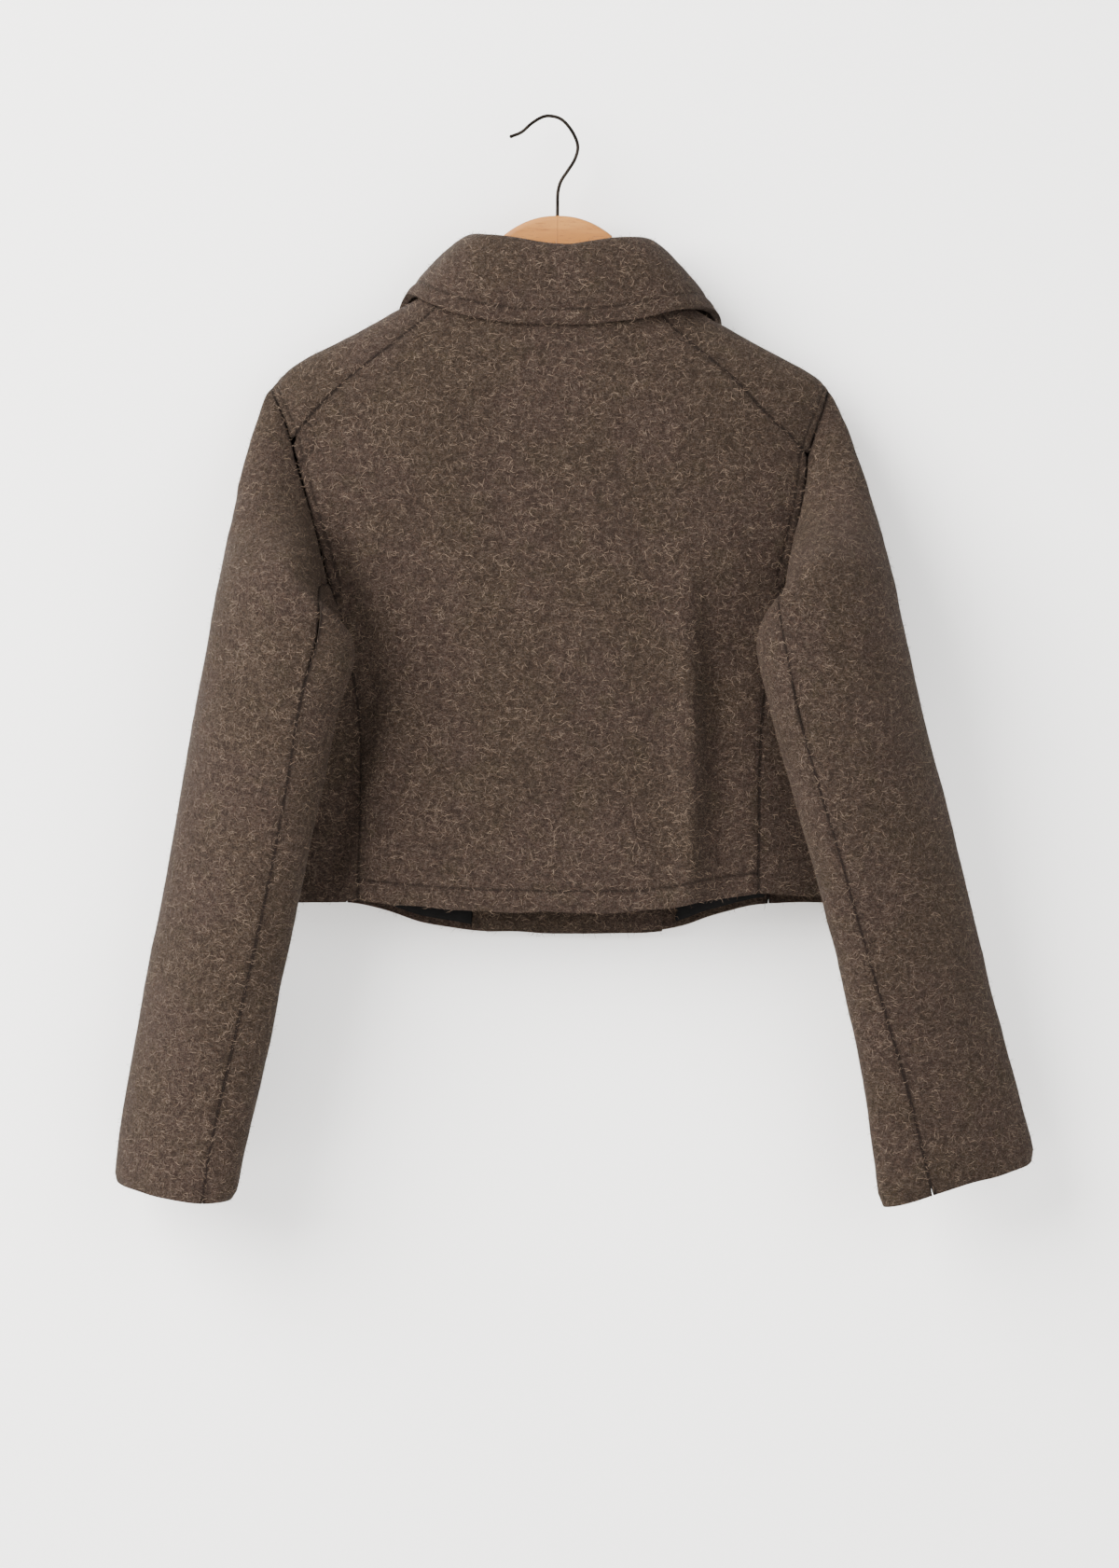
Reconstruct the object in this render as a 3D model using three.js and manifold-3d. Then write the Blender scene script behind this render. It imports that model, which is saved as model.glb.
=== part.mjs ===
// A cropped, long-sleeved wool pea coat on a wooden hanger with a wire hook.
// Millimetres, +Z up. The origin is the underside of the hook's crown, where a peg bears.
// -Y is the coat's back, +Y its buttoned front, -X the wearer's left sleeve.
import * as THREE from 'three';
import { mergeVertices } from 'three/addons/utils/BufferGeometryUtils.js';
import Module from 'manifold-3d';

const wasm = await Module();
wasm.setup();

// Driving dimensions.
const woolThickness = 3;
const facingThickness = 2.5;
const liningThickness = 1;
const collarThickness = 2.4;
const seamGap = 0.3;
const sleeveSeamGap = 0.9;
const layerGap = 0.3;
const lapelLift = { left: 1.4, right: 2.1 };
const hangerThickness = 10;
const wireRadius = 1.3;
const boreClearance = 0.35;
const boreDepth = 22;
const bevelSteps = 4;
const tipSwell = 1.15;
const buttonRadius = 14;
const buttonThickness = 4.2;
const buttonEdge = 1.2;
const buttonDish = 1.5;

// Segments along each stretch of seam, shared by the pieces on both sides of it.
const sideRows = 8;
const armholeBack = 5;
const armholeUnder = 8;
const armholeFront = 8;
const armholeTop = 3;
const facingColumns = 3;
const liningColumns = 5;
const shoulderColumns = facingColumns + liningColumns;
const backColumns = 16;
const ringCount = armholeBack + armholeUnder + armholeFront + armholeTop;
const ringJunction = armholeTop + armholeBack;
const ringFront = ringJunction + armholeUnder;
const headRings = 7;
const lapelColumns = 8;
const lapelRows = 8;
const collarColumns = 26;
const collarStandRows = 4;
const collarFallRows = 5;
const curveSamples = 200;
const facetEdge = 0.03;

// Body rings: height, the left and right ends, the back, front and side planes, and roundness.
const bodyRings = [
  { z: -625, left: -205, right: 222, back: -45, front: 25, side: 5, power: 2.3 },
  { z: -418, left: -207, right: 224, back: -48, front: 25, side: 5, power: 2.3 },
  { z: -300, left: -209, right: 219, back: -49, front: 25, side: 3, power: 2.3 },
  { z: -199, left: -210, right: 214, back: -47, front: 22, side: 0, power: 2.4 },
  { z: -193, left: -205, right: 205, back: -46, front: 22, side: 0, power: 2.4 },
  { z: -185, left: -193, right: 191, back: -45, front: 22, side: 0, power: 2.4 },
  { z: -175, left: -176, right: 172, back: -44, front: 22, side: 0, power: 2.4 },
  { z: -165, left: -155, right: 153, back: -43, front: 21, side: 0, power: 2.4 },
  { z: -151, left: -127, right: 127, back: -42, front: 21, side: 0, power: 2.4 },
  { z: -140, left: -107, right: 107, back: -40, front: 20, side: 0, power: 2.4 },
  { z: -125, left: -79, right: 84, back: -38, front: 20, side: 0, power: 2.4 },
  { z: -112, left: -55, right: 61, back: -36, front: 20, side: 0, power: 2.4 },
];

// The deepest fold of the back: it stands at x and falls away to the coat's right.
const drape = { x: 104, width: 34, depth: 9, top: -330, full: -480 };

// Armhole, from the shoulder point down the back, round the underarm and up the front.
const armholes = {
  left: {
    back: [[-203, -215], [-193, -243], [-183, -278], [-173, -318], [-165, -352]],
    under: [[-160, -388], [-176, -420], [-207, -402], [-196, -386], [-182, -368]],
    front: [[-168, -355], [-172, -315], [-179, -275], [-188, -240], [-200, -214]],
    shoulder: [-210, -199],
  },
  right: {
    back: [[208, -219], [196, -254], [193, -282], [186, -318], [178, -352]],
    under: [[174, -388], [192, -420], [224, -400], [214, -388], [198, -370]],
    front: [[182, -355], [184, -315], [189, -275], [196, -240], [206, -216]],
    shoulder: [214, -199],
  },
};

// Straight and slanting seams, by x and z.
const seams = {
  left: {
    sideBack: [[-143, -590], [-143, -470], [-149, -410], [-165, -352]],
    sideFront: [[-152, -592], [-152, -470], [-158, -410], [-168, -355]],
    shoulder: [[-60, -123], [-105, -163], [-146, -194], [-193, -243]],
  },
  right: {
    sideBack: [[159, -585], [160, -480], [164, -430], [178, -352]],
    sideFront: [[168, -592], [168, -470], [173, -410], [182, -355]],
    shoulder: [[62, -126], [102, -166], [152, -212], [196, -254]],
  },
};

// The hems, by x and z, from the coat's left to its right.
const backHem = [[-143, -590], [-90, -595], [-30, -598], [30, -599], [85, -597], [120, -590], [159, -585]];
const frontHem = [[-205, -592], [-152, -592], [-100, -605], [-60, -613], [0, -615], [60, -616], [90, -613],
  [125, -602], [168, -592], [222, -592]];

// Front edges: the free edge below the break, then the roll line up to the neck.
const fronts = {
  left: { edge: 87, breakZ: -240, neck: [-67, -119] },
  right: { edge: -46, breakZ: -240, neck: [73, -119] },
};
const facingInnerEdge = { left: -57, right: 97 };
const breakRow = 4;
const sideTop = -352;
const neckDip = 7;
const neckRoundness = 0.7;
const hemInset = { facing: 2, lining: 5 };

// Collar sections: the neck seam, the roll and the outer edge, and how wide the roll is.
const collarSections = [
  { seam: [-44, 17, -139], roll: [-42, 23, -131], edge: [-102, 27, -172], out: [-0.8, 0.5], width: 6 },
  { seam: [-58, 13, -127], roll: [-53, 17, -108], edge: [-114, 20, -156], out: [-0.9, 0.4], width: 8 },
  { seam: [-63, 0, -118], roll: [-58, -2, -91], edge: [-106, -4, -133], out: [-1, 0], width: 9 },
  { seam: [-55, -18, -122], roll: [-49, -28, -90.5], edge: [-86, -37, -143], out: [-0.75, -0.65], width: 9 },
  { seam: [-28, -30, -127], roll: [-24, -39, -93], edge: [-45, -44.8, -155], out: [-0.2, -1], width: 9 },
  { seam: [7, -33, -129], roll: [10, -42, -98.5], edge: [9, -45.4, -158], out: [0, -1], width: 9 },
  { seam: [36, -31, -128], roll: [40, -39, -94], edge: [60, -44.4, -155], out: [0.2, -1], width: 9 },
  { seam: [60, -18, -123], roll: [66, -28, -92], edge: [104, -38, -146], out: [0.75, -0.65], width: 9 },
  { seam: [69, 0, -119], roll: [75, -2, -93.5], edge: [127, -4, -144], out: [1, 0], width: 9 },
  { seam: [64, 13, -127], roll: [68, 17, -109], edge: [132, 20, -160], out: [0.9, 0.4], width: 8 },
  { seam: [50, 17, -139], roll: [56, 23, -131], edge: [120, 27, -176], out: [0.8, 0.5], width: 6 },
];

// Lapels, by x and z on the front: break or crossing, neck, tip and the point between.
const lapels = {
  left: { low: [7, -180], neck: [-46, -142], tip: [-108, -187], mid: [-34, -222] },
  right: { low: [-42, -239], neck: [57, -142], tip: [130, -192], mid: [40, -226] },
};

// Sleeve sections down the arm: inner and outer edge, depth plane, half depth, drop of the back edge,
// and the back seam's place round the section in degrees from the outer edge.
const sleeves = {
  left: [
    { inner: [-143.5, -404], outer: [-253, -384], plane: -66, half: 45, drop: -35, seam: 120 },
    { inner: [-157.5, -456], outer: [-263, -440], plane: -65, half: 44, drop: -18, seam: 121 },
    { inner: [-166.5, -503], outer: [-271, -489], plane: -62, half: 43, drop: -6, seam: 122 },
    { inner: [-183.5, -591], outer: [-287.5, -575], plane: -54, half: 42, drop: 0, seam: 121 },
    { inner: [-198, -649], outer: [-299, -634], plane: -47, half: 40, drop: 0, seam: 121 },
    { inner: [-210, -711], outer: [-311, -695], plane: -41, half: 38, drop: 0, seam: 119 },
    { inner: [-224, -769], outer: [-322, -754], plane: -37, half: 36, drop: 3, seam: 117 },
    { inner: [-232, -812], outer: [-327, -799], plane: -35, half: 34, drop: 8, seam: 117 },
  ],
  right: [
    { inner: [149, -393], outer: [264, -372], plane: -66, half: 43, drop: -35, seam: 131 },
    { inner: [159.5, -431], outer: [272.5, -412], plane: -66, half: 42, drop: -18, seam: 131 },
    { inner: [167.5, -467], outer: [280.5, -447], plane: -64, half: 41, drop: -6, seam: 130 },
    { inner: [183.5, -519], outer: [294.5, -500], plane: -60, half: 40, drop: 0, seam: 128 },
    { inner: [199, -570], outer: [307.5, -547], plane: -53, half: 38, drop: 0, seam: 127 },
    { inner: [212, -627], outer: [320, -603], plane: -47, half: 36, drop: 0, seam: 124 },
    { inner: [225.5, -679], outer: [332.5, -656], plane: -42, half: 33, drop: 0, seam: 120 },
    { inner: [237.5, -735], outer: [348, -712], plane: -37, half: 29, drop: 1, seam: 115 },
    { inner: [249, -811], outer: [369, -787], plane: -33, half: 25, drop: 3, seam: 110 },
  ],
};
const sleeveShear = 18;
const foreAngle = { top: 320, cuff: 245 };

// How the sleeve head leaves the armhole, by place round it; x is outward.
const sleeveDepartures = [
  { ring: 0, x: 45, y: 0, z: -70 },
  { ring: 3, x: 34, y: -22, z: -66 },
  { ring: 5, x: 5, y: -50, z: -50 },
  { ring: 8, x: -55, y: -90, z: -8 },
  { ring: 12, x: 20, y: -100, z: -12 },
  { ring: 16, x: 130, y: -10, z: -20 },
  { ring: 20, x: 80, y: 12, z: -55 },
  { ring: 24, x: 45, y: 0, z: -70 },
];

// How freely the sleeve's cloth settles, by place round it.
const underarmSlack = [
  { ring: 0, share: 0 },
  { ring: 6, share: 0 },
  { ring: 9, share: 0.8 },
  { ring: 16, share: 0.8 },
  { ring: 20, share: 0 },
  { ring: 24, share: 0 },
];
const settlePasses = 20;
const sleeveClearance = 9.5;
const sleeveArrival = { least: 40, most: 190 };

// Hook centreline from the open tip over the crown and down the stem.
const hookLine = [[-27.3, -14.2], [-19.6, -11], [-12.2, -4.6], [-5.6, -0.4], [0, 1.3], [9.8, -0.9],
  [17.3, -8.4], [22, -17.5], [22.9, -23.5], [20.3, -32.2], [15.8, -39.4], [10.2, -48], [8, -55.6],
  [7.6, -68], [7.6, -90]];
const hookSections = 84;
const hookSides = 14;

// Hanger outline: half widths from its middle, heights of the top edge, and how deep the arms are.
const hanger = {
  middle: 7.6,
  crown: -74,
  dome: 41,
  domeSide: -89,
  domePower: 2.2,
  domeSteps: 24,
  necks: { left: [-50.4, -130], right: [60.6, -131], under: -133 },
  shoulderHeights: [-130, -143, -156, -168],
  armDepth: 23,
  endDepth: 17,
  reach: 188,
  bevel: 3.5,
  clothDrop: 14,
};

// Buttons: two columns about the middle of the overlap, three rows.
const buttonMiddle = 20.5;
const buttonSpacing = 46;
const buttonRows = [-278, -372, -466];

const wool = new THREE.MeshStandardMaterial({ color: 0x63574b, roughness: 0.95, metalness: 0 });
const black = new THREE.MeshStandardMaterial({ color: 0x0d0d0e, roughness: 0.6, metalness: 0 });
const beech = new THREE.MeshStandardMaterial({ color: 0xd2a878, roughness: 0.55, metalness: 0 });
const steel = new THREE.MeshStandardMaterial({ color: 0x4a4642, roughness: 0.35, metalness: 1 });
const horn = new THREE.MeshStandardMaterial({ color: 0x2b211b, roughness: 0.4, metalness: 0 });

const mix = (a, b, t) => a + (b - a) * t;
const clamp = (t) => Math.min(1, Math.max(0, t));
const ease = (t) => clamp(t) ** 2 * (3 - 2 * clamp(t));

// A smooth curve through rows that keeps each stretch between its two ends (monotone cubic).
function smoothRows(at, values) {
  const steps = at.slice(1).map((value, i) => value - at[i]);
  const rises = steps.map((step, i) => (values[i + 1] - values[i]) / step);
  const slopes = values.map((_, i) => {
    if (i === 0) return rises[0];
    if (i === rises.length) return rises[i - 1];
    const before = rises[i - 1];
    const after = rises[i];
    return before * after <= 0 ? 0 : (2 * before * after) / (before + after);
  });
  return (x) => {
    let i = 0;
    while (i < steps.length - 1 && x > at[i + 1]) i += 1;
    const t = clamp((x - at[i]) / steps[i]);
    const first = (1 + 2 * t) * (1 - t) ** 2 * values[i] + t * (1 - t) ** 2 * steps[i] * slopes[i];
    return first + t * t * (3 - 2 * t) * values[i + 1] + t * t * (t - 1) * steps[i] * slopes[i + 1];
  };
}

const ringHeights = bodyRings.map((ring) => ring.z);
const bodyAt = Object.fromEntries(
  ['left', 'right', 'back', 'front', 'side', 'power'].map((name) => [
    name,
    smoothRows(ringHeights, bodyRings.map((ring) => ring[name])),
  ]),
);

// The middle and half width of the body at a height.
const bodySpan = (z) => [(bodyAt.left(z) + bodyAt.right(z)) / 2, (bodyAt.right(z) - bodyAt.left(z)) / 2];

// The body's outer surface. turn is 0 at the right side, 90 at the front, 180 at the left, 270 at the back.
function bodyPoint(turn, z) {
  const angle = THREE.MathUtils.degToRad(turn);
  const exponent = 2 / bodyAt.power(z);
  const [middle, half] = bodySpan(z);
  const side = bodyAt.side(z);
  const depth = Math.sin(angle) > 0 ? bodyAt.front(z) - side : side - bodyAt.back(z);
  const x = middle + half * Math.sign(Math.cos(angle)) * Math.abs(Math.cos(angle)) ** exponent;
  let y = side + depth * Math.sign(Math.sin(angle)) * Math.abs(Math.sin(angle)) ** exponent;
  if (y < side) {
    const fall = ease((x - drape.x) / drape.width) * ease((z - drape.top) / (drape.full - drape.top));
    y += drape.depth * fall * clamp((side - y) / 20);
  }
  return new THREE.Vector3(x, y, z);
}

function bodyNormal(turn, z) {
  const step = 0.5;
  const across = bodyPoint(turn + step, z).sub(bodyPoint(turn - step, z));
  const up = bodyPoint(turn, z + step).sub(bodyPoint(turn, z - step));
  return across.cross(up).normalize();
}

// The surface's turn at a given x on the back or the front.
function turnAt(face, x, z) {
  const [middle, half] = bodySpan(z);
  const share = Math.max(-1, Math.min(1, (x - middle) / half));
  const cosine = Math.sign(share) * Math.abs(share) ** (bodyAt.power(z) / 2);
  const turn = THREE.MathUtils.radToDeg(Math.acos(cosine));
  return face === 'back' ? 360 - turn : turn;
}

// A run of count + 1 even places along a smooth curve of [turn, height] pairs.
function alongSurface(pairs, count) {
  const marks = pairs.map(([turn, z]) => new THREE.Vector3(turn, z, 0));
  const curve = new THREE.CatmullRomCurve3(marks, false, 'centripetal');
  const samples = Array.from({ length: curveSamples + 1 }, (_, i) => curve.getPoint(i / curveSamples));
  const points = samples.map((sample) => bodyPoint(sample.x, sample.y));
  const lengths = [0];
  for (let i = 1; i < points.length; i += 1) {
    lengths.push(lengths[i - 1] + points[i].distanceTo(points[i - 1]));
  }
  return Array.from({ length: count + 1 }, (_, i) => {
    const target = (lengths.at(-1) * i) / count;
    let j = 1;
    while (j < curveSamples && lengths[j] < target) j += 1;
    const t = clamp((target - lengths[j - 1]) / (lengths[j] - lengths[j - 1]));
    return [mix(samples[j - 1].x, samples[j].x, t), mix(samples[j - 1].y, samples[j].y, t)];
  });
}

const onBack = ([x, z]) => [turnAt('back', x, z), z];
const onFront = ([x, z]) => [turnAt('front', x, z), z];

// Right-hand turns run below 0 on the back, so that a piece can pass over the right side.
const wrap = (side, pairs) => pairs.map(([turn, z]) => [side === 'right' && turn > 180 ? turn - 360 : turn, z]);

// The armhole's places, from the shoulder point down the back and round to it again.
function armholePlaces(side) {
  const hole = armholes[side];
  const edge = side === 'left' ? 180 : 0;
  const shoulder = [edge, hole.shoulder[1]];
  const back = wrap(side, hole.back.map(onBack));
  const underBack = wrap(side, hole.under.slice(0, 2).map(onBack));
  const underFront = hole.under.slice(3).map(onFront);
  const front = hole.front.map(onFront);
  const bottom = [edge, hole.under[2][1]];
  const top = alongSurface([shoulder, back[0], back[1]], armholeTop);
  const down = alongSurface(back.slice(1), armholeBack);
  const under = alongSurface([back.at(-1), ...underBack, bottom, ...underFront, front[0]], armholeUnder);
  const up = alongSurface([...front, shoulder], armholeFront);
  return [...top, ...down.slice(1), ...under.slice(1), ...up.slice(1, -1)];
}

const armholeRing = { left: armholePlaces('left'), right: armholePlaces('right') };

function seamPlaces(side) {
  const lines = seams[side];
  return {
    sideBack: alongSurface(wrap(side, lines.sideBack.map(onBack)), sideRows),
    sideFront: alongSurface(lines.sideFront.map(onFront), sideRows),
    shoulder: alongSurface(wrap(side, lines.shoulder.map(onBack)), shoulderColumns),
  };
}

const seamLines = { left: seamPlaces('left'), right: seamPlaces('right') };

// A four-sided patch of places between its bottom, top, start and end lines.
function patch(bottom, top, start, end) {
  const columns = bottom.length - 1;
  const rows = start.length - 1;
  return start.map((first, j) => bottom.map((low, i) => {
    const u = i / columns;
    const v = j / rows;
    return [0, 1].map((k) => mix(first[k], end[j][k], u) + mix(low[k], top[i][k], v)
      - mix(mix(bottom[0][k], bottom[columns][k], u), mix(top[0][k], top[columns][k], u), v));
  }));
}

const hemHeight = {
  back: smoothRows(backHem.map(([x]) => x), backHem.map(([, z]) => z)),
  front: smoothRows(frontHem.map(([x]) => x), frontHem.map(([, z]) => z)),
};

// A hem line between two places, with the hem's own height at each x.
function hemLine(from, to, count, face) {
  return Array.from({ length: count + 1 }, (_, i) => {
    const turn = mix(from[0], to[0], i / count);
    const x = bodyPoint(turn, from[1]).x;
    return [turn, i === 0 ? from[1] : i === count ? to[1] : hemHeight[face](x)];
  });
}

// A front's hem, with a column on the facing's inner edge.
function frontHemLine(side, from, to) {
  const inner = onFront([facingInnerEdge[side], from[1]]);
  const facingHem = hemLine(from, [inner[0], hemHeight.front(facingInnerEdge[side])], facingColumns, 'front');
  return [...facingHem, ...hemLine(facingHem.at(-1), to, liningColumns, 'front').slice(1)];
}

// Grids are rows of points with a normal each.
function surfaceGrid(places, depth = () => 0) {
  return places.map((row, j) => row.map(([turn, z], i) => {
    const normal = bodyNormal(turn, z);
    return { point: bodyPoint(turn, z).addScaledVector(normal, -depth(i, j)), normal };
  }));
}

// Normals from a grid's own points, for pieces that leave the body's surface.
function withNormals(points, closed = false) {
  const rows = points.length;
  const columns = points[0].length;
  const column = (i) => (closed ? (i + columns) % columns : Math.min(columns - 1, Math.max(0, i)));
  return points.map((row, j) => row.map((point, i) => {
    const across = row[column(i + 1)].clone().sub(row[column(i - 1)]);
    const up = points[Math.min(rows - 1, j + 1)][i].clone().sub(points[Math.max(0, j - 1)][i]);
    return { point, normal: across.cross(up).normalize() };
  }));
}

// Draws a grid's border in by half a seam, along the cloth.
function inset(grid, edges, distance = seamGap / 2) {
  const pull = (cell, inner) => {
    const step = inner.point.clone().sub(cell.point).normalize();
    return { point: cell.point.clone().addScaledVector(step, distance), normal: cell.normal };
  };
  let result = grid;
  if (edges.includes('bottom')) {
    result = [result[0].map((cell, i) => pull(cell, result[1][i])), ...result.slice(1)];
  }
  if (edges.includes('top')) {
    result = [...result.slice(0, -1), result.at(-1).map((cell, i) => pull(cell, result.at(-2)[i]))];
  }
  if (edges.includes('start')) result = result.map((row) => [pull(row[0], row[1]), ...row.slice(1)]);
  if (edges.includes('end')) result = result.map((row) => [...row.slice(0, -1), pull(row.at(-1), row.at(-2))]);
  return result;
}

// A closed wall from a grid: its outer face, its inner face and the edges between them.
function wall(grid, thickness) {
  const rows = grid.length;
  const columns = grid[0].length;
  const positions = [];
  for (const depth of [0, thickness]) {
    for (const row of grid) {
      for (const { point, normal } of row) {
        positions.push(...point.clone().addScaledVector(normal, -depth).toArray());
      }
    }
  }
  const outer = (j, i) => j * columns + i;
  const inner = (j, i) => rows * columns + outer(j, i);
  const triangles = [];
  const quad = (a, b, c, d) => triangles.push(a, b, c, a, c, d);
  for (let j = 0; j < rows - 1; j += 1) {
    for (let i = 0; i < columns - 1; i += 1) {
      quad(outer(j, i), outer(j, i + 1), outer(j + 1, i + 1), outer(j + 1, i));
      quad(inner(j, i), inner(j + 1, i), inner(j + 1, i + 1), inner(j, i + 1));
    }
    quad(outer(j, 0), outer(j + 1, 0), inner(j + 1, 0), inner(j, 0));
    quad(outer(j + 1, columns - 1), outer(j, columns - 1), inner(j, columns - 1), inner(j + 1, columns - 1));
  }
  for (let i = 0; i < columns - 1; i += 1) {
    quad(outer(0, i + 1), outer(0, i), inner(0, i), inner(0, i + 1));
    quad(outer(rows - 1, i), outer(rows - 1, i + 1), inner(rows - 1, i + 1), inner(rows - 1, i));
  }
  const geometry = new THREE.BufferGeometry();
  geometry.setAttribute('position', new THREE.Float32BufferAttribute(positions, 3));
  geometry.setIndex(triangles);
  return geometry;
}

// Turns a grid over where its rows run the other way, so that its faces point out.
const mirrored = (grid) => grid.map((row) => [...row].reverse());

function backPanel() {
  const start = [...seamLines.left.sideBack, ...armholeSpan('left', ringJunction, armholeTop),
    ...reversedShoulder('left')];
  const end = [...seamLines.right.sideBack, ...armholeSpan('right', ringJunction, armholeTop),
    ...reversedShoulder('right')].map(([turn, z]) => [turn + 360, z]);
  const bottom = hemLine(start[0], end[0], backColumns, 'back');
  const top = bottom.map((_, i) => {
    const u = i / backColumns;
    const dip = neckDip * Math.sin(Math.PI * u) ** neckRoundness;
    return [mix(start.at(-1)[0], end.at(-1)[0], u), mix(start.at(-1)[1], end.at(-1)[1], u) - dip];
  });
  return wall(inset(surfaceGrid(patch(bottom, top, start, end)), ['start', 'end']), woolThickness);
}

// Armhole places between two ring numbers, without the first.
function armholeSpan(side, from, to) {
  const step = Math.sign(to - from);
  const numbers = Array.from({ length: Math.abs(to - from) }, (_, i) => (from + step * (i + 1)) % ringCount);
  return numbers.map((place) => armholeRing[side][place]);
}

const reversedShoulder = (side) => [...seamLines[side].shoulder].reverse().slice(1);

function sidePanel(side) {
  const start = seamLines[side].sideFront;
  const end = seamLines[side].sideBack;
  const bottom = hemLine(start[0], end[0], armholeUnder, 'front').map(([turn, z], i) => {
    const blend = ease(i / armholeUnder);
    return [turn, mix(z, mix(start[0][1], end[0][1], i / armholeUnder), blend)];
  });
  const top = [start.at(-1), ...armholeSpan(side, ringFront, ringJunction)];
  const sewn = inset(surfaceGrid(patch(bottom, top, start, end)), ['start', 'end']);
  return wall(outward(side, inset(sewn, ['top'], sleeveSeamGap)), woolThickness);
}

// How far inside the body's outer surface the under front lies where the other front covers it.
const coverDepth = woolThickness + facingThickness + 2 * layerGap;

// The under front is fully covered up to its facing's inner edge and comes out over two columns.
const rampColumns = 2;

function underDepth(side, i, j) {
  const rise = 1 - ease((j - sideRows - breakRow) / (armholeFront - breakRow));
  return side === 'left' ? coverDepth * clamp((facingColumns + rampColumns - i) / rampColumns) * rise : 0;
}

// The front's inner boundary, from the hem up its edge and roll line to the neck and over to the back.
function frontEdge(side) {
  const { edge, breakZ, neck } = fronts[side];
  const hemZ = hemHeight.front(edge);
  const lowerHeights = Array.from({ length: sideRows + 1 }, (_, i) => mix(hemZ, sideTop, i / sideRows));
  const lower = lowerHeights.map((z) => onFront([edge, z]));
  const upper = Array.from({ length: armholeFront }, (_, i) => {
    const t = i + 1;
    if (t <= breakRow) return onFront([edge, mix(sideTop, breakZ, t / breakRow)]);
    const rise = (t - breakRow) / (armholeFront - breakRow);
    if (rise === 1) return [side === 'left' ? 180 : 0, neck[1]];
    return onFront([mix(edge, neck[0], rise), mix(breakZ, neck[1], rise)]);
  });
  const neckEnd = seamLines[side].shoulder[0];
  const over = Array.from({ length: armholeTop }, (_, i) => {
    const t = (i + 1) / armholeTop;
    return [mix(upper.at(-1)[0], neckEnd[0], t), mix(upper.at(-1)[1], neckEnd[1], t)];
  });
  return [...lower, ...upper, ...over];
}

function frontPlaces(side) {
  const start = frontEdge(side);
  const hole = [...armholeSpan(side, ringFront, ringCount), ...armholeSpan(side, 0, armholeTop)];
  const end = [...seamLines[side].sideFront, ...hole];
  const bottom = frontHemLine(side, start[0], end[0]);
  const ridgeRow = sideRows + armholeFront;
  const ridge = alongSurface([start[ridgeRow], end[ridgeRow]], shoulderColumns);
  return [
    ...patch(bottom, ridge, start.slice(0, ridgeRow + 1), end.slice(0, ridgeRow + 1)),
    ...patch(ridge, seamLines[side].shoulder, start.slice(ridgeRow), end.slice(ridgeRow)).slice(1),
  ];
}

const frontGrid = Object.fromEntries(
  ['left', 'right'].map((side) => [side, surfaceGrid(frontPlaces(side), (i, j) => underDepth(side, i, j))]),
);

const outward = (side, grid) => (side === 'left' ? grid : mirrored(grid));

function frontPanel(side) {
  return wall(outward(side, inset(inset(frontGrid[side], ['top']), ['end'], 2 * seamGap)), woolThickness);
}

// A sheet inside a front, from the front's own points between two columns, from above its hem to the break.
function innerSheet(side, fromColumn, toColumn, hemRise) {
  const rows = frontGrid[side].slice(0, sideRows + breakRow + 1);
  return rows.map((row, j) => row.slice(fromColumn, toColumn + 1).map(({ point, normal }) => {
    const raised = point.clone().addScaledVector(normal, -woolThickness - layerGap);
    raised.z += j === 0 ? hemRise : 0;
    return { point: raised, normal };
  }));
}

function facing(side) {
  const sheet = innerSheet(side, 0, facingColumns, hemInset.facing);
  return wall(outward(side, inset(sheet, ['start', 'end', 'top'])), facingThickness);
}

function lining(side) {
  const sheet = innerSheet(side, facingColumns, shoulderColumns, hemInset.lining);
  return wall(outward(side, inset(sheet, ['start', 'end', 'top'])), liningThickness);
}

// The place on a front's outer facets at a given x and z.
function onFrontCloth(side, x, z) {
  const grid = frontGrid[side];
  for (let j = 0; j < grid.length - 1; j += 1) {
    for (let i = 0; i < shoulderColumns; i += 1) {
      const corners = [grid[j][i], grid[j][i + 1], grid[j + 1][i + 1], grid[j + 1][i]];
      for (const [a, b, c] of [[0, 1, 2], [0, 2, 3]].map((picked) => picked.map((k) => corners[k]))) {
        const triangle = [a, b, c].map(({ point }) => new THREE.Vector3(point.x, point.z, 0));
        const weights = new THREE.Vector3();
        const flat = !THREE.Triangle.getBarycoord(new THREE.Vector3(x, z, 0), ...triangle, weights);
        if (!flat && Math.min(weights.x, weights.y, weights.z) >= -facetEdge && a.normal.y > 0) {
          const blend = (name) => a[name].clone().multiplyScalar(weights.x)
            .addScaledVector(b[name], weights.y).addScaledVector(c[name], weights.z);
          return { point: blend('point'), normal: blend('normal').normalize() };
        }
      }
    }
  }
  throw new Error(`no front cloth at ${x}, ${z}`);
}

function lapel(side) {
  const { low, neck, tip, mid } = lapels[side];
  const place = (i, j) => {
    const across = i / lapelColumns;
    const up = j / lapelRows;
    const [x, z] = [0, 1].map((k) => mix(mix(low[k], mid[k], across), mix(neck[k], tip[k], across), up));
    const { point, normal } = onFrontCloth(side, x, z);
    return { point: point.addScaledVector(normal, lapelLift[side] + woolThickness), normal };
  };
  const row = (j) => Array.from({ length: lapelColumns + 1 }, (_, i) => place(i, j));
  const grid = Array.from({ length: lapelRows + 1 }, (_, j) => row(j));
  return wall(outward(side, grid), woolThickness);
}

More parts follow.
